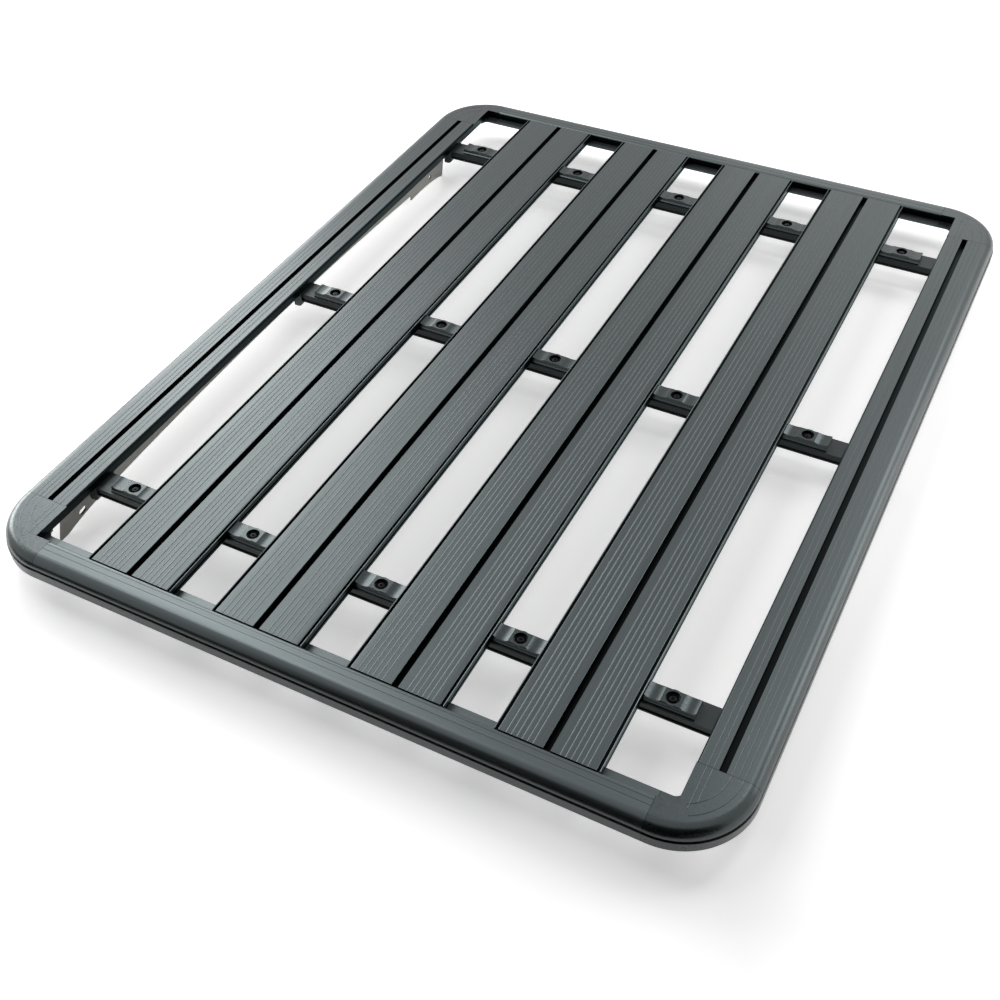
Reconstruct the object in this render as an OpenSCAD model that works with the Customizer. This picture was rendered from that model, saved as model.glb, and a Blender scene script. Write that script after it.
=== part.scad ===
// Flat platform roof rack: a bolted frame of extruded aluminium rails, planks and crossbars.
// X runs across the rack, Y from its front end to its rear end, Z up from the floor it stands on.

/* [Platform] */
// Overall width across the side rails
rack_w = 1426; // [1300:2:1560]
// Overall length over the end rails
rack_l = 1828; // [1640:2:2100]
// Height of the deck above the floor when the rack stands on its mounting rails
deck_h = 89; // [86:1:100]
// Depth of the deck: planks, and the rails' inner walls, above the crossbars
deck_t = 18; // [17:0.5:21]
// Depth of the perimeter rails over their outer skirt
rail_h = 46; // [43:1:56]

/* [Perimeter rails] */
// Width of a side rail, from outer face to inner wall
side_w = 105; // [98:1:112]
// Width of an end rail, from outer face to inner wall
end_w = 53; // [50:1:58]
// Distance from a side rail's outer face to the middle of its T-slot
side_slot_u = 64.5; // [62:0.5:66]
// Radius of the bullnose along the outer edge
bull_r = 20; // [17:1:20]
// Set-back of the bullnose from the lower lip
bull_inset = 2; // [1:0.5:3]
// Height of the lower lip on the outer skirt
lip_h = 19; // [16:0.5:19]
// Depth of the groove between bullnose and lip
lip_groove_d = 4; // [2:0.5:4]
// Radius of the rail's top inner edge
inner_edge_r = 5; // [2:0.5:5]
// Depth of the ledge that the plank ends rest on
ledge_w = 22; // [16:1:24]
// Thickness of that ledge
ledge_t = 3.5; // [3:0.5:5]
// Wall thickness of the extrusions
skin = 3; // [2.5:0.25:3.5]

/* [Corner castings] */
// Outer radius of a corner
corner_r = 130; // [125:1:132]
// Length of a casting along the side rail, from the rack's end
corner_l = 134; // [133:1:145]
// Length of a casting along the end rail, from the rack's side
corner_w = 137; // [133:1:145]
// Radius of the fillet between the casting's ledge and its side wall
corner_fillet_r = 14; // [8:1:18]

/* [Planks] */
// Number of planks
plank_n = 4; // [3:1:4]
// Gap between neighbouring planks
plank_gap = 88; // [80:1:96]
// Gap between the outer planks and the side rails
side_gap = 120; // [112:1:128]
// Radius of a plank's top edges
plank_edge_r = 2.5; // [1:0.5:3]

/* [T-slots] */
// Width of a T-slot's mouth
slot_mouth = 12; // [9:0.5:13]
// Width of the channel under the mouth
slot_w = 22; // [18:0.5:24]
// Thickness of the lips beside the mouth
slot_lip_t = 4; // [3:0.25:4.5]

/* [Fine ribs] */
// Radius of a fine rib on the top faces
rib_r = 0.8; // [0.6:0.05:1]
// Height of a fine rib
rib_h = 0.5; // [0.3:0.05:0.6]
// Distance from the middle of a plank to its first fine rib
plank_rib_first = 19.5; // [17:0.5:22]
// Distance from a plank's edge to its last fine rib
plank_rib_edge = 14.5; // [10:0.5:18]
// Distance between the fine ribs of a side rail
rail_rib_pitch = 9.6; // [8:0.1:11]
// Distance from the middle of a side rail's slot to the nearest fine ribs
rail_rib_first = 14.4; // [13:0.1:16]
// Distance from an end rail's inner edge to its first shallow score line
end_score_first = 8; // [6:1:10]
// Distance between an end rail's two score lines
end_score_pitch = 11; // [8:1:12]
// Width of a score line
score_w = 1; // [0.6:0.1:1.4]
// Depth of a score line
score_d = 0.5; // [0.3:0.1:0.8]

/* [Crossbars] */
// Width of a crossbar along the rack
bar_w = 46; // [44:1:60]
// Depth of a crossbar
bar_h = 20; // [18:0.5:24]
// Distance from an end rail's inner wall to the middle of the nearest crossbar
bar_in = 178; // [160:1:220]
// Depth of the recess along a crossbar's flanks
bar_recess_d = 2.5; // [1:0.5:4]
// How far a crossbar reaches under a side rail's inner wall
bar_under = 12; // [8:1:16]

/* [Crossbar feet] */
// Depth of a foot below the crossbar
foot_drop = 13; // [10:1:18]
// Length of a foot along the crossbar
foot_l = 21; // [18:1:28]
// Wall of the foot along the crossbar's sides
foot_wall = 3; // [2:0.5:5]
// Wall of the foot over the crossbar's end
foot_end = 8; // [5:1:10]
// Radius of the foot's lower inner edge
foot_r = 12; // [8:1:14]

/* [Clamp blocks] */
// Width of a clamp block along the rack, over its base
block_w = 38; // [36:1:42]
// Width of the block's top
block_top_w = 31; // [28:1:33]
// Height of the base that lies on the crossbar
block_base_h = 3; // [2:0.5:4]
// Height of a clamp block above the crossbar
block_h = 12; // [11:0.5:14]
// Diameter of the round boss in a block's middle
boss_d = 32; // [31:0.5:36]
// Diameter of the counterbore for the bolt head
bolt_head_bore = 24; // [21:0.5:25]
// Depth of that counterbore
bolt_head_depth = 8.5; // [6:0.5:9]
// Diameter of the bolt hole
bolt_bore = 10.5; // [8:0.5:11]
// Depth of the scoops in a block's top, to each side of the boss
scoop_d = 2.2; // [0.5:0.1:2.5]
// Radius of those scoops
scoop_r = 40; // [30:1:60]
// Height of the tongue that grips a plank's flank
tongue_h = 4; // [3:0.5:5]
// Reach of that tongue into the plank's flank
tongue_d = 2.5; // [1.5:0.25:3]

/* [Mounting rails] */
// Length of a mounting rail
mount_l = 1452; // [1430:1:1470]
// Place of a mounting rail's middle along the rack
mount_y = -71; // [-90:1:-60]
// Angle by which the web leans outwards towards the floor, in degrees
mount_lean = 7; // [0:0.5:10]
// Thickness of the mounting rail's steel
mount_t = 4; // [3:0.5:6]
// Width of its top flange, under the side rail
mount_flange_w = 30; // [24:1:30]
// Radius of the arch in the web's lower edge
arch_r = 8000; // [7600:50:8800]
// Height of the arch's highest point above the floor
arch_z = 44; // [40:0.5:48]
// Distance from the mounting rail's middle back to the arch's highest point
arch_shift = 37; // [20:1:50]
// Radius of the lower edge of the ears
ear_r = 450; // [420:5:600]
// Length of the ear at the rear end
rear_ear_l = 158; // [140:1:180]
// Distance from the rear end to the highest point of its ear's lower edge
rear_ear_in = 115; // [100:1:125]
// Height of that highest point above the floor
rear_ear_z = 14; // [10:0.5:18]
// Length of the ear at the front end, with the highest point of its lower edge at its start
front_ear_l = 152; // [140:1:170]
// Height of that highest point above the floor
front_ear_z = 19.5; // [14:0.5:21]
// Length of the flat toe that an ear stands on
toe_l = 9; // [6:1:14]
// How far the front end's edge is raked back over the web's depth
front_rake = 18; // [0:1:24]
// Distance from an end of the mounting rail to the middle of its hole
ear_hole_in = 66; // [55:1:75]
// Height of the round hole in the rear ear above the floor
rear_hole_z = 29.5; // [26:0.5:33]
// Height of the slotted hole in the front ear above the floor
front_slot_z = 23.5; // [22:0.5:28]
// Diameter of the round hole, and width of the slotted one
ear_hole_d = 13; // [9:0.5:14]
// Length of the slotted hole between its round ends
front_slot_run = 8; // [6:1:16]
// Angle by which the slotted hole follows the ear's edge, in degrees
front_slot_tilt = 11; // [0:1:15]

/* [Hidden] */
// Clearance between pieces that slide together
fit = 0.3;
// How far the parts of one piece reach into each other
lap = 1;
$fn = 48;

deck_bottom = deck_h - deck_t;
bar_bottom = deck_bottom - bar_h;
foot_bottom = bar_bottom - foot_drop;
inner_x = rack_w / 2 - side_w;
inner_y = rack_l / 2 - end_w;
joint_x = rack_w / 2 - corner_w;
joint_y = rack_l / 2 - corner_l;
arc_x = rack_w / 2 - corner_r;
arc_y = rack_l / 2 - corner_r;
plank_w = (2 * (inner_x - side_gap) - (plank_n - 1) * plank_gap) / plank_n;
plank_pitch = plank_w + plank_gap;
plank_x = [for (i = [0 : plank_n - 1]) (i - (plank_n - 1) / 2) * plank_pitch];
block_x = [for (i = [0 : plank_n]) (i - plank_n / 2) * plank_pitch];
block_l = plank_gap - 2 * fit;
bar_y = [bar_in - inner_y, 0, inner_y - bar_in];
bar_end_x = inner_x + bar_under;
foot_out_x = bar_end_x + foot_end;
foot_in_x = foot_out_x - foot_l;
bull_u = bull_inset + bull_r;
mount_in_x = foot_out_x;
tongue_z = 5;
block_edge = 1;
lip_foot = 2;
corner_n = 128;
plank_ribs = 6;
plank_rib_pitch = (plank_w / 2 - plank_rib_first - plank_rib_edge) / (plank_ribs - 1);
rail_ribs_out = 3;
rail_ribs_in = 2;
rib_sweep = 62;

ROWS = ["front", "middle", "rear"];

// A rectangle given by two corners
module rect(u0, v0, u1, v1) {
    translate([u0, v0]) square([u1 - u0, v1 - v0]);
}

// Section of the outer skirt. u runs inward from the outer face, v is 0 at the deck's top.
module skirt_section() {
    lip_top = -rail_h + lip_h;
    groove_u = bull_inset + lip_groove_d;
    groove_top = -bull_r - skin;
    difference() {
        union() {
            intersection() {
                translate([bull_u, -bull_r]) circle(r = bull_r, $fn = 96);
                rect(0, -bull_r, bull_u, 0);
            }
            rect(bull_inset, groove_top, groove_u + skin, -bull_r);
            rect(groove_u, lip_top - skin, groove_u + skin, groove_top);
        }
        intersection() {
            translate([bull_u, -bull_r]) circle(r = bull_r - skin, $fn = 96);
            rect(0, -bull_r, bull_u, 0);
        }
    }
    rect(bull_u, -skin, bull_u + lap, 0);
    rect(0, lip_top - skin, groove_u + skin, lip_top);
    rect(0, -rail_h, skin, lip_top);
    rect(0, -rail_h, skin + lip_foot, -rail_h + skin);
}

// The box part of a rail, from the bullnose to the inner wall, with its top inner edge rounded
module box_section(w) {
    difference() {
        rect(bull_u, -deck_t, w, 0);
        translate([w - inner_edge_r, -inner_edge_r]) difference() {
            square(inner_edge_r + 1);
            circle(r = inner_edge_r);
        }
    }
}

// The hollow of a T-slot with its mouth at the top, centred on u
module slot_section(u) {
    rect(u - slot_w / 2, -deck_t + skin, u + slot_w / 2, -slot_lip_t);
    rect(u - slot_mouth / 2, -slot_lip_t - 1, u + slot_mouth / 2, 1);
}

// One fine rib on a top face, centred on u
module fine_rib(u) {
    translate([u, rib_h - rib_r]) circle(r = rib_r, $fn = 32);
}

// The ribs of a side rail to each side of its slot
module rail_ribs_outer() {
    for (i = [0 : rail_ribs_out - 1])
        fine_rib(side_slot_u - rail_rib_first - i * rail_rib_pitch);
}

module rail_ribs_inner() {
    for (i = [0 : rail_ribs_in - 1])
        fine_rib(side_slot_u + rail_rib_first + i * rail_rib_pitch);
}

module side_rail_section() {
    near = side_slot_u - slot_w / 2 - skin;
    far = side_slot_u + slot_w / 2 + skin;
    skirt_section();
    difference() {
        box_section(side_w);
        rect(bull_u + skin, -deck_t + skin, near, -skin);
        rect(far, -deck_t + skin, side_w - skin, -inner_edge_r);
        rect(far, -inner_edge_r - 1, side_w - inner_edge_r, -skin);
        slot_section(side_slot_u);
    }
    rail_ribs_outer();
    rail_ribs_inner();
}

module end_rail_section() {
    skirt_section();
    difference() {
        union() {
            box_section(end_w);
            rect(bull_u, -deck_t - ledge_t, end_w + ledge_w, -deck_t);
        }
        rect(bull_u + skin, -deck_t, end_w - skin, -inner_edge_r);
        rect(bull_u + skin, -inner_edge_r - 1, end_w - inner_edge_r, -skin);
        for (u = [end_w - end_score_first, end_w - end_score_first - end_score_pitch])
            rect(u - score_w / 2, -score_d, u + score_w / 2, 1);
    }
}

// A side rail on the right-hand side, centred along the rack
module side_rail() {
    translate([rack_w / 2, joint_y, deck_h]) rotate([90, 0, 0])
        linear_extrude(2 * joint_y) mirror([1, 0]) side_rail_section();
}

// The rear end rail
module end_rail() {
    translate([-joint_x, rack_l / 2, deck_h]) rotate([90, 0, 90])
        linear_extrude(2 * joint_x) mirror([1, 0]) end_rail_section();
}

// The casting's plan: the quarter round inside the bullnose and the two arms to the joints
module corner_plan(inset) {
    difference() {
        union() {
            translate([arc_x, arc_y]) intersection() {
                circle(r = corner_r - inset, $fn = corner_n);
                square(corner_r);
            }
            rect(joint_x, joint_y, arc_x, rack_l / 2 - inset);
            rect(joint_x, joint_y, rack_w / 2 - inset, arc_y);
        }
        rect(joint_x - 1, joint_y - 1, inner_x + inset - bull_u, inner_y + inset - bull_u);
    }
}

module corner_skirt() {
    translate([arc_x, arc_y, deck_h]) rotate_extrude(angle = 90, $fn = corner_n)
        translate([corner_r, 0]) mirror([1, 0]) skirt_section();
    translate([rack_w / 2, arc_y, deck_h]) rotate([90, 0, 0])
        linear_extrude(arc_y - joint_y) mirror([1, 0]) skirt_section();
    translate([joint_x, rack_l / 2, deck_h]) rotate([90, 0, 90])
        linear_extrude(arc_x - joint_x) mirror([1, 0]) skirt_section();
}

// The ledge that carries on from the end rail and runs into the casting's side wall
module corner_ledge() {
    translate([0, 0, deck_bottom - ledge_t]) linear_extrude(ledge_t) difference() {
        rect(joint_x, inner_y - ledge_w - corner_fillet_r, inner_x + skin, inner_y + skin);
        rect(joint_x - 1, inner_y - ledge_w - corner_fillet_r - 1,
             inner_x - corner_fillet_r, inner_y - ledge_w);
        translate([inner_x - corner_fillet_r, inner_y - ledge_w - corner_fillet_r])
            circle(r = corner_fillet_r, $fn = 96);
    }
}

// The side rail's ribs carried on: the outer ones round the corner, the inner ones straight
module corner_ribs() {
    translate([arc_x, arc_y, deck_h]) rotate_extrude(angle = rib_sweep, $fn = corner_n)
        translate([corner_r, 0]) mirror([1, 0]) rail_ribs_outer();
    translate([rack_w / 2, arc_y, deck_h]) rotate([90, 0, 0])
        linear_extrude(arc_y - joint_y) mirror([1, 0]) rail_ribs_outer();
    translate([rack_w / 2, inner_y, deck_h]) rotate([90, 0, 0])
        linear_extrude(inner_y - joint_y) mirror([1, 0]) rail_ribs_inner();
}

// The wall that closes the end of the side rail's T-slot
module corner_slot_stop() {
    translate([rack_w / 2 - side_slot_u - slot_w / 2 - skin, joint_y, deck_bottom])
        cube([slot_w + 2 * skin, skin, deck_t - skin + lap]);
}

// The rear right casting
module corner_casting() {
    corner_skirt();
    difference() {
        translate([0, 0, deck_bottom]) linear_extrude(deck_t) corner_plan(bull_u);
        translate([0, 0, deck_bottom - 1]) linear_extrude(deck_t - skin + 1)
            corner_plan(bull_u + skin);
    }
    corner_slot_stop();
    corner_ledge();
    corner_ribs();
}

module plank_section() {
    half = plank_w / 2;
    mid = slot_w / 2 + skin;
    cell = (half - skin - mid - skin) / 2;
    difference() {
        rect(-half, -deck_t, half, 0);
        for (s = [-1, 1]) {
            translate([s * (half - plank_edge_r), -plank_edge_r]) difference() {
                translate([s * (plank_edge_r + 1) / 2, (plank_edge_r + 1) / 2])
                    square(plank_edge_r + 1, center = true);
                circle(r = plank_edge_r);
            }
            mirror([s > 0 ? 0 : 1, 0]) {
                rect(mid, -deck_t + skin, mid + cell, -skin);
                rect(mid + cell + skin, -deck_t + skin, half - skin - tongue_d - fit, -skin);
                rect(half - tongue_d - fit, -deck_t + tongue_z - fit, half + 1,
                     -deck_t + tongue_z + tongue_h + fit);
            }
        }
        slot_section(0);
    }
    for (s = [-1, 1], i = [0 : plank_ribs - 1])
        fine_rib(s * (plank_rib_first + i * plank_rib_pitch));
}

module plank(i) {
    translate([plank_x[i], inner_y - fit, deck_h]) rotate([90, 0, 0])
        linear_extrude(2 * (inner_y - fit)) plank_section();
}

module crossbar_section() {
    difference() {
        rect(-bar_w / 2, -bar_h, bar_w / 2, 0);
        rect(-bar_w / 2 + skin + bar_recess_d, -bar_h + skin, bar_w / 2 - skin - bar_recess_d, -skin);
        for (s = [0, 1]) mirror([s, 0])
            rect(bar_w / 2 - bar_recess_d, -bar_h + skin, bar_w / 2 + 1, -bar_h / 2);
    }
}

module crossbar(row) {
    difference() {
        translate([-bar_end_x, bar_y[row], deck_bottom]) rotate([90, 0, 90])
            linear_extrude(2 * bar_end_x) crossbar_section();
        for (x = block_x)
            translate([x, bar_y[row], bar_bottom - 1]) cylinder(d = bolt_bore, h = bar_h + 2);
    }
}

// Section of a clamp block across the crossbar: a wider base, then a body with broken top edges
module block_section() {
    base = block_w / 2;
    top = block_top_w / 2;
    e = block_edge;
    polygon([[-base, 0], [base, 0], [base, block_base_h - e], [base - e, block_base_h],
             [top + e, block_base_h + e], [top, block_h - e], [top - e, block_h],
             [e - top, block_h], [-top, block_h - e], [-top - e, block_base_h + e],
             [e - base, block_base_h], [-base, block_base_h - e]]);
}

module clamp_block(row, i) {
    x = block_x[i];
    left_tongue = i > 0 ? tongue_d : 0;
    right_tongue = i < plank_n ? tongue_d : 0;
    translate([x, bar_y[row], deck_bottom]) difference() {
        union() {
            translate([-block_l / 2, 0, 0]) rotate([90, 0, 90]) linear_extrude(block_l)
                block_section();
            cylinder(d = boss_d, h = block_h, $fn = 96);
            translate([-block_l / 2 - left_tongue, -block_top_w / 2, tongue_z])
                cube([block_l + left_tongue + right_tongue, block_top_w, tongue_h]);
        }
        for (s = [-1, 1])
            translate([s * (boss_d / 2 + block_l / 2) / 2, 0, block_h + scoop_r - scoop_d])
                rotate([90, 0, 0]) cylinder(r = scoop_r, h = 2 * block_w, center = true, $fn = 128);
        translate([0, 0, block_h - bolt_head_depth]) cylinder(d = bolt_head_bore, h = block_h);
        translate([0, 0, -1]) cylinder(d = bolt_bore, h = block_h + 2);
    }
}

// A moulded foot that caps the right-hand end of a crossbar
module crossbar_foot(row) {
    half = bar_w / 2 + fit + foot_wall;
    translate([0, bar_y[row], 0]) difference() {
        translate([0, half, 0]) rotate([90, 0, 0]) linear_extrude(2 * half) difference() {
            rect(foot_in_x, foot_bottom, foot_out_x, deck_bottom);
            translate([foot_in_x + foot_r, foot_bottom + foot_r]) difference() {
                translate([-foot_r - 1, -foot_r - 1]) square(foot_r + 1);
                circle(r = foot_r);
            }
        }
        translate([foot_in_x - 1, -half + foot_wall, bar_bottom])
            cube([bar_end_x + fit - foot_in_x + 1, 2 * (half - foot_wall), bar_h + 1]);
    }
}

// Place in the leaning web, below its top, of a height above the floor
function web_v(z) = -(deck_bottom - z) / cos(mount_lean);

// The arched web of a mounting rail. s runs along it from its middle, v is 0 at its top.
module mounting_web() {
    half = mount_l / 2;
    low_v = web_v(-mount_t);
    front_low = -half + front_rake * (1 - (low_v - 1) / web_v(0));
    front_out = -half - front_rake - 1;
    difference() {
        rect(front_out, low_v, half, mount_t);
        intersection() {
            translate([arch_shift, web_v(arch_z) - arch_r]) circle(r = arch_r, $fn = 720);
            rect(-half + front_ear_l, low_v - 1, half - rear_ear_l, 0);
        }
        intersection() {
            translate([half - rear_ear_in, web_v(rear_ear_z) - ear_r]) circle(r = ear_r, $fn = 360);
            rect(0, low_v - 1, half - toe_l, 0);
        }
        intersection() {
            translate([-half + front_ear_l, web_v(front_ear_z) - ear_r]) circle(r = ear_r, $fn = 360);
            rect(-half + toe_l, low_v - 1, 0, 0);
        }
        polygon([[front_out - 1, low_v - 1], [front_low, low_v - 1], [-half + front_rake, 0],
                 [-half + front_rake, mount_t + 1], [front_out - 1, mount_t + 1]]);
        translate([half - ear_hole_in, web_v(rear_hole_z)]) circle(d = ear_hole_d);
        translate([-half + ear_hole_in, web_v(front_slot_z)]) rotate(front_slot_tilt) {
            square([front_slot_run, ear_hole_d], center = true);
            for (e = [-1, 1])
                translate([e * front_slot_run / 2, 0]) circle(d = ear_hole_d);
        }
    }
}

// The right-hand mounting rail: the leaning web and the flange that bolts up under the side rail
module mounting_rail() {
    intersection() {
        translate([mount_in_x, mount_y, deck_bottom]) rotate([0, -mount_lean, 0])
            rotate([90, 0, 90]) linear_extrude(mount_t) mounting_web();
        translate([mount_in_x - mount_t, mount_y - mount_l, 0])
            cube([mount_flange_w + mount_t, 2 * mount_l, deck_bottom]);
    }
    translate([mount_in_x + mount_t / 2, mount_y - mount_l / 2 + front_rake + lap, deck_bottom - mount_t])
        cube([mount_flange_w - mount_t / 2, mount_l - front_rake - 2 * lap, mount_t]);
}

rail_grey = "#5a5f63";
plank_grey = "#565c60";
block_black = "#2b3034";
foot_black = "#141516";
steel_grey = "#66655f";

color(rail_grey) side_rail();  // side_rail_right
color(rail_grey) mirror([1, 0, 0]) side_rail();  // side_rail_left
color(rail_grey) end_rail();  // end_rail_rear
color(rail_grey) mirror([0, 1, 0]) end_rail();  // end_rail_front
color(rail_grey) corner_casting();  // corner_rear_right
color(rail_grey) mirror([1, 0, 0]) corner_casting();  // corner_rear_left
color(rail_grey) mirror([0, 1, 0]) corner_casting();  // corner_front_right
color(rail_grey) mirror([1, 0, 0]) mirror([0, 1, 0]) corner_casting();  // corner_front_left
for (i = [0 : plank_n - 1])
    color(plank_grey) plank(i);
for (row = [0 : 2]) {
    color(block_black) crossbar(row);
    color(foot_black) crossbar_foot(row);
    color(foot_black) mirror([1, 0, 0]) crossbar_foot(row);
    for (i = [0 : plank_n])
        color(block_black) clamp_block(row, i);
}
color(steel_grey) mounting_rail();  // mounting_rail_right
color(steel_grey) mirror([1, 0, 0]) mounting_rail();  // mounting_rail_left
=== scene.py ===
"""A flat platform roof rack standing on a white studio floor."""

import logging
import math
from dataclasses import dataclass
from enum import Enum
from typing import Any, Callable, Dict, List, Optional, Sequence, Tuple, Union

import bpy
from mathutils import Matrix, Vector


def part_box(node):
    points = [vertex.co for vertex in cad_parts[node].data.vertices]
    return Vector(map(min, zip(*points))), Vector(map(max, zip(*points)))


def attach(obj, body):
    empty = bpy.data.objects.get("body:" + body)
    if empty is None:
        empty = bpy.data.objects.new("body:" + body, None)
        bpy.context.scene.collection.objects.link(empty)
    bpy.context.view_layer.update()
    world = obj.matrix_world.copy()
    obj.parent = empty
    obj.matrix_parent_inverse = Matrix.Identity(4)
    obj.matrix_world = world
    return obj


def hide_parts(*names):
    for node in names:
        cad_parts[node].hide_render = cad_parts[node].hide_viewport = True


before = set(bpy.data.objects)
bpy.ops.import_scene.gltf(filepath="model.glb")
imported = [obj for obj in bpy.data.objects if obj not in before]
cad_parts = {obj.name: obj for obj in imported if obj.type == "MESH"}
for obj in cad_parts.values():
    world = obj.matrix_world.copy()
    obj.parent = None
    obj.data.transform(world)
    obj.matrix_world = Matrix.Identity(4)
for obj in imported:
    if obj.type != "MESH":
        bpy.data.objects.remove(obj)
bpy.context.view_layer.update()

logging.basicConfig(level=logging.INFO, format="%(message)s")
log = logging.getLogger("roof_rack")

MM = 0.001
DECK_TOP = 89 * MM
DECK_BOTTOM = 71.5 * MM
INNER_X = 613.5 * MM
INNER_Y = 861.5 * MM
RAIL_SLOT_X = 648.5 * MM
CHANNEL_HALF = 11.3 * MM
# How far the painted shade in the hollows takes colour and sheen down to black
HOLLOW_SHADE_STRENGTH = 0.93
# Below this height an outer lip is painted paler, a painted reflection of the floor close by
SKIRT_TOP = 62.3 * MM
SKIRT_REFLECTION_COLOUR = "#4d4a48"
JOINT_X = 576 * MM
JOINT_Y = 780 * MM
JOINT_LINE = 0.6 * MM
SMOOTH = math.radians(35)
PLANK_SMOOTH = math.radians(15)
ROUND = 32
# A normal's height above which a face looks up, and below which it stands upright
UPWARD, UPRIGHT = 0.9, 0.5
WELD = 0.001 * MM
STREAKS_PER_M = 160.0
NOISE_LOW, NOISE_HIGH = 0.3, 0.7
SHADE_LOW, SHADE_HIGH = 0.94, 1.06
Key = Union[str, int]
Section = List[Tuple[float, float]]
Card = Tuple[str, Tuple[float, float, float], Tuple[float, float], Tuple[float, float, float]]


def linear(hex_code: str) -> Tuple[float, float, float, float]:
    """Turns an sRGB hex colour into linear light with full alpha.

    Args:
        hex_code: A colour such as "#5a5f63".

    Returns:
        Red, green, blue and alpha for a shader socket.
    """
    parts = [int(hex_code.lstrip("#")[i : i + 2], 16) / 255 for i in (0, 2, 4)]
    rgb = [p / 12.92 if p <= 0.04045 else ((p + 0.055) / 1.055) ** 2.4 for p in parts]
    return (rgb[0], rgb[1], rgb[2], 1.0)


def add_node(
    material: Union[bpy.types.Material, bpy.types.World],
    kind: str,
    settings: Optional[Dict[Key, Any]] = None,
    links: Optional[Dict[Key, bpy.types.NodeSocket]] = None,
) -> bpy.types.Node:
    """Adds one shader node, sets its values and joins its inputs.

    Args:
        material: The material or world whose node tree grows.
        kind: The node's type, such as "ShaderNodeTexNoise".
        settings: Input values by the input's name or number, or node properties by name.
        links: Output sockets to join, by the name or number of the input they feed.

    Returns:
        The new node.
    """
    tree = material.node_tree
    node = tree.nodes.new(kind)
    for name, value in (settings or {}).items():
        if isinstance(name, str) and name not in node.inputs:
            setattr(node, name, value)
        else:
            node.inputs[name].default_value = value
    for name, socket in (links or {}).items():
        tree.links.new(socket, node.inputs[name])
    return node


def shown(material: Union[bpy.types.Material, bpy.types.World]) -> bpy.types.NodeSocket:
    """Finds the rays by which the camera, a shiny face or glass sees a surface.

    Args:
        material: The material or world whose node tree grows.

    Returns:
        A socket that is 1 for those rays and 0 for the light that the surface gives.
    """
    path = add_node(material, "ShaderNodeLightPath")
    seen = path.outputs["Is Camera Ray"]
    for ray in ("Is Glossy Ray", "Is Transmission Ray"):
        seen = add_node(
            material, "ShaderNodeMath", {"operation": "MAXIMUM"}, {0: seen, 1: path.outputs[ray]}
        ).outputs[0]
    return seen


class Grain(Enum):
    """The direction in which a piece's fine marks run."""

    ALONG_RACK = (1.0, 0.02, 1.0)
    ACROSS_RACK = (0.02, 1.0, 1.0)
    NONE = (1.0, 1.0, 1.0)


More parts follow.
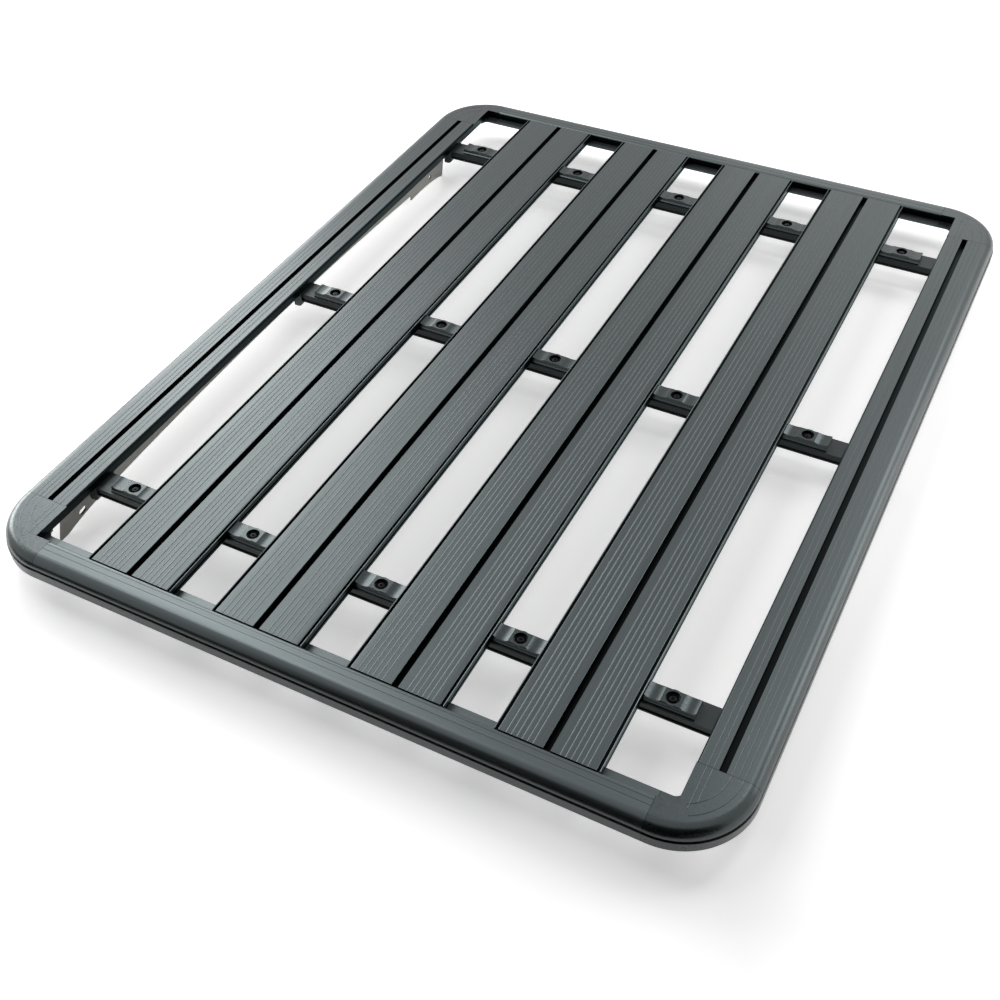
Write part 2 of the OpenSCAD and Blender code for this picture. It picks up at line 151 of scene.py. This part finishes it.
@dataclass(frozen=True)
class Coating:
    """A finish on one kind of piece.

    Args:
        name: The material's name, for the real stuff.
        colour: Its sRGB hex colour.
        roughness: How matt it is.
        grain: The direction of its fine marks.
        speck_mm: Size of the coating's texture.
        bump_mm: Height of that texture.
        streak: How much the roughness varies along the grain.
        metallic: 1 for bare metal.
        sheen: Strength of the clear surface reflection: 0.5 for plain paint, more for a satin coat.
        cast: Colour of that reflection, cool on the coats.
        hollow_shade_mm: Depth below the deck from which walls and channels are painted black as
            shade, 0 for none.
        hollow_shade_end: How far along the rack those walls are painted black as shade.
        joints: Whether the piece ends in joints, where a fine dark line shows.
        skirt_reflection: Whether it has an outer lip, painted paler as a reflection of the floor
            close by.
    """

    name: str
    colour: str
    roughness: float
    grain: Grain = Grain.NONE
    speck_mm: float = 1.2
    bump_mm: float = 0.02
    streak: float = 0.05
    metallic: float = 0.0
    sheen: float = 0.75
    cast: str = "#ebfdff"
    hollow_shade_mm: float = 0.0
    hollow_shade_end: float = INNER_Y
    joints: bool = False
    skirt_reflection: bool = False

    def hollow_shade(
        self, material: bpy.types.Material, place: bpy.types.NodeSocket
    ) -> bpy.types.NodeSocket:
        """Finds the walls round the open gaps and the channel of a side rail's slot, which are
        painted black as shade.

        Args:
            material: The material being made.
            place: The point on the rack, in metres.

        Returns:
            A socket that is 1 on those faces and 0 elsewhere.
        """
        axes = add_node(material, "ShaderNodeSeparateXYZ", {}, {"Vector": place})
        across, along = [
            add_node(
                material, "ShaderNodeMath", {"operation": "ABSOLUTE"}, {0: axes.outputs[axis]}
            ).outputs[0]
            for axis in ("X", "Y")
        ]
        below = ("LESS_THAN", axes.outputs["Z"], DECK_TOP - self.hollow_shade_mm * MM, 0.0)
        above = ("GREATER_THAN", axes.outputs["Z"], DECK_BOTTOM, 0.0)
        inside = ("LESS_THAN", across, INNER_X, 0.0)
        short = ("LESS_THAN", along, self.hollow_shade_end, 0.0)
        on_rail = ("LESS_THAN", along, JOINT_Y, 0.0)
        in_slot = ("COMPARE", across, RAIL_SLOT_X, CHANNEL_HALF)
        masks = []
        for tests in ((inside, short, below, above), (below, above, on_rail, in_slot)):
            mask: Optional[bpy.types.NodeSocket] = None
            for kind, value, limit, width in tests:
                test = add_node(
                    material, "ShaderNodeMath", {"operation": kind, 1: limit, 2: width}, {0: value}
                ).outputs[0]
                if mask is not None:
                    test = add_node(
                        material, "ShaderNodeMath", {"operation": "MULTIPLY"}, {0: mask, 1: test}
                    ).outputs[0]
                mask = test
            masks.append(mask)
        either = add_node(
            material, "ShaderNodeMath", {"operation": "MAXIMUM"}, {0: masks[0], 1: masks[1]}
        )
        return either.outputs[0]

    def joint_shade(
        self, material: bpy.types.Material, place: bpy.types.NodeSocket
    ) -> bpy.types.NodeSocket:
        """Finds the fine line of shade at the joints with the rails.

        Args:
            material: The material being made.
            place: The point on the rack, in metres.

        Returns:
            A socket that is 1 on the line and 0 elsewhere.
        """
        axes = add_node(material, "ShaderNodeSeparateXYZ", {}, {"Vector": place})
        lines = []
        for axis, joint in (("X", JOINT_X), ("Y", JOINT_Y)):
            along = add_node(
                material, "ShaderNodeMath", {"operation": "ABSOLUTE"}, {0: axes.outputs[axis]}
            )
            line = add_node(
                material,
                "ShaderNodeMath",
                {"operation": "COMPARE", 1: joint, 2: JOINT_LINE},
                {0: along.outputs[0]},
            )
            lines.append(line.outputs[0])
        either = add_node(
            material, "ShaderNodeMath", {"operation": "MAXIMUM"}, {0: lines[0], 1: lines[1]}
        )
        return either.outputs[0]

    def build(self) -> bpy.types.Material:
        """Makes the material's nodes.

        Returns:
            The finished material.
        """
        material = bpy.data.materials.new(self.name)
        material.use_nodes = True
        material.node_tree.nodes.clear()
        where = add_node(material, "ShaderNodeTexCoord")
        place = where.outputs["Object"]
        drawn = add_node(
            material, "ShaderNodeMapping", {"Scale": self.grain.value}, {"Vector": place}
        )
        streaks = add_node(
            material,
            "ShaderNodeTexNoise",
            {"Scale": STREAKS_PER_M, "Detail": 3.0, "Roughness": 0.55},
            {"Vector": drawn.outputs["Vector"]},
        )
        rough = add_node(
            material,
            "ShaderNodeMapRange",
            {
                "From Min": NOISE_LOW,
                "From Max": NOISE_HIGH,
                "To Min": self.roughness - self.streak,
                "To Max": self.roughness + self.streak,
            },
            {"Value": streaks.outputs["Fac"]},
        ).outputs["Result"]
        specks = add_node(
            material,
            "ShaderNodeTexNoise",
            {"Scale": 1.0 / (self.speck_mm * MM), "Detail": 2.0, "Roughness": 0.6},
            {"Vector": place},
        )
        bump = add_node(
            material,
            "ShaderNodeBump",
            {"Strength": 1.0, "Distance": self.bump_mm * MM},
            {"Height": specks.outputs["Fac"]},
        )
        shade = add_node(
            material,
            "ShaderNodeMapRange",
            {
                "From Min": NOISE_LOW,
                "From Max": NOISE_HIGH,
                "To Min": SHADE_LOW,
                "To Max": SHADE_HIGH,
            },
            {"Value": streaks.outputs["Fac"]},
        ).outputs["Result"]
        feeds: Dict[Key, bpy.types.NodeSocket] = {"Normal": bump.outputs["Normal"]}
        darks = []
        if self.hollow_shade_mm:
            darks.append(self.hollow_shade(material, place))
        if self.joints:
            darks.append(self.joint_shade(material, place))
        if darks:
            dark = add_node(
                material, "ShaderNodeMath", {"operation": "MAXIMUM"}, {0: darks[0], 1: darks[-1]}
            ).outputs[0]
            # Painted shade in the hollows, with the dark joint lines: the colour is painted black
            # and the sheen taken away
            feeds["Metallic"] = add_node(
                material, "ShaderNodeMath", {"operation": "MULTIPLY", 1: HOLLOW_SHADE_STRENGTH}, {0: dark}
            ).outputs[0]
            left = add_node(
                material,
                "ShaderNodeMath",
                {"operation": "SUBTRACT", 0: 1.0},
                {1: feeds["Metallic"]},
            ).outputs[0]
            shade = add_node(
                material, "ShaderNodeMath", {"operation": "MULTIPLY"}, {0: shade, 1: left}
            ).outputs[0]
        tint = add_node(
            material, "ShaderNodeHueSaturation", {"Color": linear(self.colour)}, {"Value": shade}
        )
        # Painted reflection: below the skirt's top the lip takes a paler colour for the floor it
        # mirrors
        if self.skirt_reflection:
            axes = add_node(material, "ShaderNodeSeparateXYZ", {}, {"Vector": place})
            below = add_node(
                material,
                "ShaderNodeMath",
                {"operation": "LESS_THAN", 1: SKIRT_TOP},
                {0: axes.outputs["Z"]},
            )
            feeds["Base Color"] = add_node(
                material,
                "ShaderNodeMix",
                {"data_type": "RGBA", 7: linear(SKIRT_REFLECTION_COLOUR)},
                {0: below.outputs[0], 6: tint.outputs["Color"]},
            ).outputs[2]
        else:
            feeds["Base Color"] = tint.outputs["Color"]
        feeds["Roughness"] = rough
        surface = add_node(
            material,
            "ShaderNodeBsdfPrincipled",
            {
                "Metallic": self.metallic,
                "Specular IOR Level": self.sheen,
                "Specular Tint": linear(self.cast),
            },
            feeds,
        )
        add_node(
            material, "ShaderNodeOutputMaterial", {}, {"Surface": surface.outputs["BSDF"]}
        )
        return material


# Satin black powder coat on the rails, which reads mid grey where a lamp shines off its flat tops
# Its slot and inner walls are painted black as shade, and its lower lip paler as a painted
# reflection of the floor
RAIL_COAT = Coating(
    "powder_coated_aluminium_rail", "#1c1e20", 0.34, Grain.ALONG_RACK, hollow_shade_mm=0.4, skirt_reflection=True
)
# The end rails' extrusion runs the other way, so its die lines do too
# Its inner walls are painted black as shade, and its lower lip paler as a painted reflection of the
# floor
END_RAIL_COAT = Coating(
    "powder_coated_aluminium_end_rail",
    "#1e2022",
    0.34,
    Grain.ACROSS_RACK,
    sheen=0.95,
    hollow_shade_mm=0.6,
    skirt_reflection=True,
)
# The planks: the same coat, a little duller, with side walls and slot painted black as shade but
# their end faces left lit
PLANK_COAT = Coating(
    "powder_coated_aluminium_plank",
    "#1b1e20",
    0.36,
    Grain.ALONG_RACK,
    hollow_shade_mm=1.7,
    hollow_shade_end=859 * MM,
)
# The castings: smoother and glossier than the extrusions beside them
# Its walls are painted black as shade, and its lower lip paler as a painted reflection of the floor
CASTING_COAT = Coating(
    "powder_coated_aluminium_casting", "#1b1d1f", 0.3, hollow_shade_mm=0.6, joints=True, skirt_reflection=True
)
# The crossbars: near black with a soft sheen
CROSSBAR_COAT = Coating(
    "powder_coated_aluminium_crossbar", "#121315", 0.4, Grain.ACROSS_RACK, sheen=0.35
)
# The clamp blocks: moulded, dark blue-black, with a soft highlight on every edge
BLOCK_MOULDING = Coating(
    "glass_filled_nylon_moulding", "#14181b", 0.26, speck_mm=0.7, bump_mm=0.006, sheen=0.6
)
# The feet on the crossbars' ends: plain black moulding
FOOT_MOULDING = Coating("black_polymer_moulding", "#0b0b0c", 0.5, speck_mm=0.7)
# The mounting rails: satin silver plate, lightened to a warm grey as a painted reflection of the
# floor
STEEL_COAT = Coating("satin_zinc_plated_steel", "#8f8d84", 0.32, Grain.ALONG_RACK, cast="#ffffff")
# The bolts: blackened steel, so that each head is a dark spot with a glint in its socket
BLACK_STEEL = Coating(
    "black_oxide_steel",
    "#18181a",
    0.34,
    speck_mm=0.5,
    bump_mm=0.005,
    streak=0.03,
    metallic=1.0,
    cast="#ffffff",
)
# The walls of a bolt's socket, where the bare steel shines through
BARE_STEEL = Coating(
    "bare_steel",
    "#e6e7e8",
    0.16,
    speck_mm=0.5,
    bump_mm=0.003,
    streak=0.03,
    metallic=1.0,
    cast="#ffffff",
)


def select_faces(obj: bpy.types.Object, wanted: Callable[[Vector, Vector], bool]) -> None:
    """Selects, in edit mode, the faces for which a test holds.

    Args:
        obj: The object in edit mode.
        wanted: A test that takes a face's centre and normal.
    """
    bpy.ops.mesh.select_mode(type="FACE")
    bpy.ops.mesh.select_all(action="DESELECT")
    bpy.ops.object.mode_set(mode="OBJECT")
    for face in obj.data.polygons:
        face.select = wanted(face.center, face.normal)
    bpy.ops.object.mode_set(mode="EDIT")


def settle(obj: bpy.types.Object, name: str) -> None:
    """Names a finished piece, puts its place into its mesh and lets it ride on the rack.

    Args:
        obj: The piece.
        name: Its name.
    """
    bpy.ops.object.select_all(action="DESELECT")
    obj.select_set(True)
    bpy.context.view_layer.objects.active = obj
    bpy.ops.object.transform_apply(location=True, rotation=True, scale=True)
    obj.name = name
    obj.data.name = name
    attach(obj, "root")


def arc(
    centre: Tuple[float, float], radius: float, first: float, last: float, steps: int
) -> Section:
    """Points on an arc of a section, from one angle to another in degrees."""
    turns = [math.radians(first + (last - first) * i / steps) for i in range(steps + 1)]
    return [(centre[0] + radius * math.cos(t), centre[1] + radius * math.sin(t)) for t in turns]


def pull_section(corners: Section, middle: float, start: float, end: float) -> bpy.types.Object:
    """Draws a section edge by edge and pulls it out along the rack.

    Args:
        corners: Its corners in order, in millimetres across from its middle and up from the deck.
        middle: Where its middle lies across the rack.
        start: Where its front end lies.
        end: Where its rear end lies.

    Returns:
        The finished bar.
    """
    bpy.ops.object.select_all(action="DESELECT")
    bpy.ops.mesh.primitive_plane_add(size=MM, location=(middle, start, DECK_TOP))
    bar = bpy.context.object
    bpy.ops.object.mode_set(mode="EDIT")
    bpy.ops.mesh.select_all(action="SELECT")
    bpy.ops.mesh.merge(type="CENTER")
    first = corners[0]
    bpy.ops.transform.translate(value=(first[0] * MM, 0.0, first[1] * MM))
    here = first
    for there in corners[1:] + [first]:
        step = ((there[0] - here[0]) * MM, 0.0, (there[1] - here[1]) * MM)
        bpy.ops.mesh.extrude_vertices_move(TRANSFORM_OT_translate={"value": step})
        here = there
    bpy.ops.mesh.select_all(action="SELECT")
    bpy.ops.mesh.remove_doubles(threshold=WELD)
    bpy.ops.mesh.edge_face_add()
    bpy.ops.mesh.extrude_region_move(TRANSFORM_OT_translate={"value": (0.0, end - start, 0.0)})
    bpy.ops.mesh.select_all(action="SELECT")
    bpy.ops.mesh.normals_make_consistent(inside=False)
    bpy.ops.object.mode_set(mode="OBJECT")
    return bar


@dataclass
class Plank:
    """A plank's extrusion: a T-slot, fine ribs to each side and a narrow groove along each edge.

    Args:
        name: The piece's name.
        node: The CAD node that it stands for.
        half: Half its width, in millimetres as all its sizes.
        deep: Its thickness.
        mouth: Half the slot's mouth.
        channel: Half the slot's channel.
        lip: Thickness of the slot's lips.
        floor: Thickness below the channel.
        first_rib: Distance of the first rib from the plank's middle.
        rib_pitch: Distance between ribs.
        ribs: Number of ribs to each side.
        rib_half: Half a rib's width.
        rib_crest: Half the width of its crest.
        rib_h: A rib's height.
        crown: Where the flat top ends.
        crown_r: Radius of the top's edge.
        groove: Outer wall of the groove along the edge.
        groove_d: Depth of that groove.
        soft: Radius of the small edges.
        pocket: Depth and height of the groove in the flank that takes a clamp block's tongue.
    """

    name: str
    node: str
    half: float = 89.0
    deep: float = 18.0
    mouth: float = 6.0
    channel: float = 11.0
    lip: float = 4.0
    floor: float = 3.0
    first_rib: float = 22.7
    rib_pitch: float = 9.15
    ribs: int = 6
    rib_half: float = 1.2
    rib_crest: float = 0.2
    rib_h: float = 0.38
    crown: float = 82.6
    crown_r: float = 1.5
    groove: float = 87.4
    groove_d: float = 6.0
    soft: float = 0.5
    pocket: Tuple[float, float, float] = (86.2, -8.7, -13.3)

    def rib(self, across: float) -> Section:
        """One rib on the flat top: a low roof with a narrow crest.

        Args:
            across: Its distance from the plank's middle.

        Returns:
            Its corners.
        """
        foot, crest = self.rib_half, self.rib_crest
        return [
            (across - foot, 0.0),
            (across - crest, self.rib_h),
            (across + crest, self.rib_h),
            (across + foot, 0.0),
        ]

    def half_section(self) -> Section:
        """The right half of the section, from the slot's floor over the top to the underside.

        Returns:
            Its corners in order.
        """
        bottom = -self.deep
        inner, high, low = self.pocket
        corners = [
            (0.0, bottom + self.floor),
            (self.channel, bottom + self.floor),
            (self.channel, -self.lip),
            (self.mouth, -self.lip),
            (self.mouth, -self.soft),
            (self.mouth + self.soft, 0.0),
        ]
        for i in range(self.ribs):
            corners += self.rib(self.first_rib + i * self.rib_pitch)
        corners += arc((self.crown - self.crown_r, -self.crown_r), self.crown_r, 90, 0, 8)
        corners += [
            (self.crown, -self.groove_d),
            (self.groove, -self.groove_d),
            (self.groove, -self.soft),
        ]
        corners += arc((self.half - self.soft, -self.soft), self.soft, 90, 0, 3)
        corners += [
            (self.half, high),
            (inner, high),
            (inner, low),
            (self.half, low),
            (self.half, bottom),
            (0.0, bottom),
        ]
        return corners

    def build(self, coat: bpy.types.Material) -> None:
        """Makes the plank and puts it in the place of its CAD node.

        Args:
            coat: The plank's material.
        """
        low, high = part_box(self.node)
        right = self.half_section()
        left = [(-across, up) for across, up in reversed(right[1:-1])]
        plank = pull_section(right + left, (low.x + high.x) / 2, low.y, high.y)
        plank.data.materials.append(coat)
        bpy.ops.object.shade_smooth_by_angle(angle=PLANK_SMOOTH)
        settle(plank, self.name)
        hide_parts(self.node)
        log.info("extruded %s", self.name)


@dataclass
class Planks:
    """All the planks of the deck."""

    coat: Coating = PLANK_COAT
    count: int = 4

    def build(self) -> None:
        """Makes each plank."""
        coat = self.coat.build()
        for i in range(1, self.count + 1):
            Plank(f"deck_plank_{i}", f"plank_{i}").build(coat)


@dataclass
class CoatedPieces:
    """CAD nodes that share one coat.

    Args:
        what: What the pieces are, for the log.
        nodes: The CAD nodes' names.
        coat: Their finish.
    """

    what: str
    nodes: List[str]
    coat: Coating

    def build(self) -> None:
        """Gives every node the coat."""
        material = self.coat.build()
        for name in self.nodes:
            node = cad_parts[name]
            if len(node.data.materials) == 0:
                node.data.materials.append(material)
            for slot in node.material_slots:
                slot.material = material
            log.info("coated %s, of the %s", name, self.what)


@dataclass
class ClampBolt:
    """A button-head bolt with a hex socket on a washer, sunk in a clamp block's counterbore.

    Args:
        name: The piece's name.
        block: The CAD node of the block that it holds.
        pitch: Distance between neighbouring blocks.
        head_r: Radius of its head.
        head_h: Height of its head.
        head_edge: Radius of its head's top edge.
        washer_r: Radius of its washer.
        washer_t: Thickness of its washer.
        washer_edge: Radius of its washer's top edge.
        socket_r: Radius over the corners of the hex socket.
        socket_d: Depth of the socket.
        sunk: Depth of the counterbore's floor below the block's top.
        reach_over: How far past the socket's corners its walls are looked for.
    """

    name: str
    block: str
    pitch: float = 266 * MM
    head_r: float = 7.0 * MM
    head_h: float = 4.4 * MM
    head_edge: float = 2.4 * MM
    washer_r: float = 10.0 * MM
    washer_t: float = 1.6 * MM
    washer_edge: float = 0.3 * MM
    socket_r: float = 2.9 * MM
    socket_d: float = 2.8 * MM
    sunk: float = 8.5 * MM
    reach_over: float = 0.1 * MM

    def seat(self) -> Vector:
        """Finds the counterbore's floor, in the middle of the gap that the block fills.

        Returns:
            The middle of that floor.
        """
        low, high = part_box(self.block)
        across = round((low.x + high.x) / 2 / self.pitch) * self.pitch
        return Vector((across, (low.y + high.y) / 2, high.z - self.sunk))

    def disc(
        self, radius: float, depth: float, base: Vector, edge: float, steps: int
    ) -> bpy.types.Object:
        """A round plate with its top edge rounded.

        Args:
            radius: Its radius.
            depth: Its thickness.
            base: The middle of its underside.
            edge: Radius of the rounded edge.
            steps: Number of facets round that edge.

        Returns:
            The plate.
        """
        bpy.ops.object.select_all(action="DESELECT")
        bpy.ops.mesh.primitive_cylinder_add(
            vertices=ROUND, radius=radius, depth=depth, location=base + Vector((0, 0, depth / 2))
        )
        plate = bpy.context.object
        bpy.ops.object.mode_set(mode="EDIT")
        select_faces(plate, lambda c, n: n.z > UPWARD)
        bpy.ops.mesh.bevel(offset=edge, segments=steps, profile=0.5, affect="EDGES")
        bpy.ops.object.mode_set(mode="OBJECT")
        return plate

    def head(self, base: Vector) -> bpy.types.Object:
        """The domed head with its hex socket.

        Args:
            base: The middle of the washer's top.

        Returns:
            The head.
        """
        head = self.disc(self.head_r, self.head_h, base, self.head_edge, 4)
        bpy.ops.mesh.primitive_cylinder_add(
            vertices=6,
            radius=self.socket_r,
            depth=2 * self.socket_d,
            location=base + Vector((0, 0, self.head_h)),
        )
        cutter = bpy.context.object
        bpy.ops.object.select_all(action="DESELECT")
        head.select_set(True)
        bpy.context.view_layer.objects.active = head
        cut = head.modifiers.new("socket", "BOOLEAN")
        cut.operation = "DIFFERENCE"
        cut.object = cutter
        cut.solver = "EXACT"
        bpy.ops.object.modifier_apply(modifier=cut.name)
        bpy.data.objects.remove(cutter)
        return head

    def build(self, outside: bpy.types.Material, socket: bpy.types.Material) -> None:
        """Makes the bolt as one piece.

        Args:
            outside: The finish of head and washer.
            socket: The finish of the socket's walls.
        """
        seat = self.seat()
        washer = self.disc(self.washer_r, self.washer_t, seat, self.washer_edge, 2)
        head = self.head(seat + Vector((0, 0, self.washer_t)))
        bpy.ops.object.select_all(action="DESELECT")
        washer.select_set(True)
        head.select_set(True)
        bpy.context.view_layer.objects.active = head
        bpy.ops.object.join()
        head.data.materials.clear()
        head.data.materials.append(outside)
        head.data.materials.append(socket)
        bpy.ops.object.mode_set(mode="EDIT")
        axis = seat - head.location
        reach = self.socket_r + self.reach_over
        select_faces(
            head,
            lambda c, n: abs(n.z) < UPRIGHT and math.hypot(c.x - axis.x, c.y - axis.y) < reach,
        )
        head.active_material_index = 1
        bpy.ops.object.material_slot_assign()
        bpy.ops.object.mode_set(mode="OBJECT")
        bpy.ops.object.shade_smooth_by_angle(angle=SMOOTH)
        settle(head, self.name)
        log.info("fitted %s", self.name)


@dataclass
class ClampRows:
    """The bolts of all clamp blocks."""

    rows: Sequence[str] = ("front", "middle", "rear")
    per_row: int = 5
    outside: Coating = BLACK_STEEL
    socket: Coating = BARE_STEEL

    def build(self) -> None:
        """Fits one bolt in each block."""
        outside, socket = self.outside.build(), self.socket.build()
        for row in self.rows:
            for i in range(1, self.per_row + 1):
                ClampBolt(f"clamp_bolt_{row}_{i}", f"clamp_block_{row}_{i}").build(outside, socket)


@dataclass
class Softbox:
    """A lamp that faces the rack's middle.

    Args:
        name: Its name.
        azimuth: Its direction in degrees, from the rear round to the left.
        height: Its height above the horizon in degrees.
        watts: Its power.
        side: Its width and height.
        reach: Its distance from the rack's middle.
    """

    name: str
    azimuth: float
    height: float
    watts: float
    side: Tuple[float, float] = (1.3, 1.3)
    reach: float = 3.2

    def build(self) -> None:
        """Hangs the lamp."""
        lamp = bpy.data.lights.new(self.name, "AREA")
        lamp.shape = "RECTANGLE"
        lamp.size, lamp.size_y = self.side
        lamp.energy = self.watts
        obj = bpy.data.objects.new(self.name, lamp)
        bpy.context.scene.collection.objects.link(obj)
        turn, rise = math.radians(self.azimuth), math.radians(self.height)
        flat = math.cos(rise)
        out = Vector((-math.sin(turn) * flat, math.cos(turn) * flat, math.sin(rise)))
        obj.location = out * self.reach + Vector((0.0, 0.0, DECK_TOP))
        obj.rotation_euler = (-out).to_track_quat("-Z", "Y").to_euler()
        log.info("hung %s", self.name)


# Softboxes behind and to the left, whose light fades over the deck towards the right, two more on
# the right, and a smaller one close to the right-hand rail
LAMPS = (
    Softbox("low_left_softbox", 90, 18, 50),
    Softbox("low_rear_left_softbox", 60, 18, 25),
    Softbox("low_rear_softbox", 0, 18, 3.5),
    Softbox("low_right_softbox", -60, 18, 23),
    Softbox("rear_right_softbox", -30, 40, 20),
    Softbox("rear_left_softbox", 50, 40, 10),
    Softbox("left_softbox", 65, 40, 22),
    Softbox("high_left_softbox", 90, 60, 23),
    Softbox("near_right_softbox", -62, 60, 5, (0.4, 0.8), 1.9),
)


# A flag behind the camera, and a card on the floor before the rack's front, a painted shadow that
# only shiny faces see
CARDS: Sequence[Card] = (
    ("studio_flag", (0.9, -3.0, 1.6), (6.0, 3.2), (90, 0, 25)),
    ("front_shadow_card", (-0.4, -1.89, 0.003), (3.4, 1.8), (0, 0, 0)),
)


@dataclass
class Studio:
    """The pale floor, the soft lamps, the dark cards in front, the sky and the camera.

    Args:
        floor_side: Width of the floor.
        floor_colour: Its sRGB hex colour.
        floor_lift: White that the floor adds under the rack, where it is seen: painted shade, less
            than the full white farther out.
        rack_scale: One over half the rack's size each way.
        fade: How far out, in half sizes of the rack, the floor begins and ends its fade to white.
        cards: The name, middle, size and turn of each dark card, which only shiny faces see.
        lamps: The softboxes.
        eye: The camera's place.
        right: The camera's right-hand direction.
        up: The camera's upward direction.
        lens_mm: Its focal length on a 36 mm sensor.
    """

    floor_side: float = 14.0
    floor_colour: str = "#f4f4f4"
    floor_lift: float = 0.52
    rack_scale: Tuple[float, float, float] = (1.4, 1.09, 1.0)
    fade: Tuple[float, float] = (0.95, 1.6)
    cards: Sequence[Card] = CARDS
    lamps: Sequence[Softbox] = LAMPS
    eye: Tuple[float, float, float] = (0.8644, -1.8303, 1.6819)
    right: Tuple[float, float, float] = (0.88743393, 0.46036606, -0.02289348)
    up: Tuple[float, float, float] = (-0.30960901, 0.63214672, 0.71030471)
    lens_mm: float = 45.15

    def floor(self) -> None:
        """Lays the floor, which keeps the rack's soft shadow and adds painted shade under and round
        the rack.
        """
        bpy.ops.mesh.primitive_plane_add(size=self.floor_side, location=(0, 0, 0))
        floor = bpy.context.object
        floor.name = "studio_floor"
        material = bpy.data.materials.new("matt_white_floor")
        material.use_nodes = True
        material.node_tree.nodes.clear()
        # Painted shade: the white that the floor adds is lower within the rack's outline and fades
        # up to full white beyond it
        where = add_node(material, "ShaderNodeTexCoord")
        drawn = add_node(
            material,
            "ShaderNodeMapping",
            {"Scale": self.rack_scale},
            {"Vector": where.outputs["Object"]},
        )
        axes = add_node(material, "ShaderNodeSeparateXYZ", {}, {"Vector": drawn.outputs["Vector"]})
        sides = [
            add_node(
                material, "ShaderNodeMath", {"operation": "ABSOLUTE"}, {0: axes.outputs[axis]}
            ).outputs[0]
            for axis in ("X", "Y")
        ]
        out = add_node(
            material, "ShaderNodeMath", {"operation": "MAXIMUM"}, {0: sides[0], 1: sides[1]}
        )
        fade = add_node(
            material,
            "ShaderNodeMapRange",
            {
                "interpolation_type": "SMOOTHSTEP",
                "From Min": self.fade[0],
                "From Max": self.fade[1],
                "To Min": self.floor_lift,
                "To Max": 1.0,
            },
            {"Value": out.outputs[0]},
        )
        lift = add_node(
            material,
            "ShaderNodeMath",
            {"operation": "MULTIPLY"},
            {0: shown(material), 1: fade.outputs["Result"]},
        )
        surface = add_node(
            material,
            "ShaderNodeBsdfPrincipled",
            {
                "Base Color": linear(self.floor_colour),
                "Roughness": 0.9,
                "Specular IOR Level": 0.1,
                "Emission Color": (1.0, 1.0, 1.0, 1.0),
            },
            {"Emission Strength": lift.outputs[0]},
        )
        add_node(
            material, "ShaderNodeOutputMaterial", {}, {"Surface": surface.outputs["BSDF"]}
        )
        floor.data.materials.append(material)

    def flags(self) -> None:
        """Sets up the dark cards, which the rack's front face mirrors; the one on the floor is a
        painted shadow.
        """
        material = bpy.data.materials.new("black_felt")
        material.use_nodes = True
        material.node_tree.nodes.clear()
        surface = add_node(
            material,
            "ShaderNodeBsdfPrincipled",
            {"Base Color": linear("#0a0a0a"), "Roughness": 1.0, "Specular IOR Level": 0.0},
        )
        add_node(material, "ShaderNodeOutputMaterial", {}, {"Surface": surface.outputs["BSDF"]})
        for name, place, size, turn in self.cards:
            bpy.ops.mesh.primitive_plane_add(
                size=1.0, location=place, rotation=tuple(math.radians(angle) for angle in turn)
            )
            card = bpy.context.object
            card.name = name
            card.scale = (size[0], size[1], 1.0)
            bpy.ops.object.transform_apply(location=True, rotation=True, scale=True)
            card.data.materials.append(material)
            card.visible_camera = False
            card.visible_diffuse = False
            card.visible_shadow = False

    def sky(self) -> None:
        """Shows white all round to the camera and to shiny faces, without lighting the rack."""
        world = bpy.data.worlds.new("white_studio")
        bpy.context.scene.world = world
        world.use_nodes = True
        world.node_tree.nodes.clear()
        background = add_node(
            world,
            "ShaderNodeBackground",
            {"Color": linear("#ffffff")},
            {"Strength": shown(world)},
        )
        add_node(world, "ShaderNodeOutputWorld", {}, {"Surface": background.outputs["Background"]})

    def camera(self) -> None:
        """Sets the camera where the photograph was taken."""
        data = bpy.data.cameras.new("camera")
        data.sensor_width = 36.0
        data.sensor_fit = "HORIZONTAL"
        data.lens = self.lens_mm
        data.clip_end = 100.0
        obj = bpy.data.objects.new("camera", data)
        bpy.context.scene.collection.objects.link(obj)
        right, up = Vector(self.right), Vector(self.up)
        back = right.cross(up)
        turn = Matrix((right, up, back)).transposed()
        obj.matrix_world = Matrix.Translation(self.eye) @ turn.to_4x4()
        bpy.context.scene.camera = obj

    def build(self) -> None:
        """Sets up the whole studio."""
        self.floor()
        self.flags()
        self.sky()
        for lamp in self.lamps:
            lamp.build()
        self.camera()
        view = bpy.context.scene.view_settings
        view.view_transform = "Standard"
        log.info("set up the studio")


def named(*parts: str) -> List[str]:
    """The CAD nodes whose names begin with one of the given words."""
    return sorted(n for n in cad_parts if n.startswith(parts))


def main() -> None:
    """Builds the rack's looks piece by piece, then the studio."""
    feet = named("crossbar_foot")
    crossbars = [n for n in named("crossbar") if n not in feet]
    CoatedPieces("side rails", named("side_rail"), RAIL_COAT).build()
    CoatedPieces("end rails", named("end_rail"), END_RAIL_COAT).build()
    CoatedPieces("corner castings", named("corner"), CASTING_COAT).build()
    Planks().build()
    CoatedPieces("crossbars", crossbars, CROSSBAR_COAT).build()
    CoatedPieces("clamp blocks", named("clamp_block"), BLOCK_MOULDING).build()
    CoatedPieces("crossbar feet", feet, FOOT_MOULDING).build()
    CoatedPieces("mounting rails", named("mounting_rail"), STEEL_COAT).build()
    ClampRows().build()
    Studio().build()


if __name__ == "__main__":
    main()
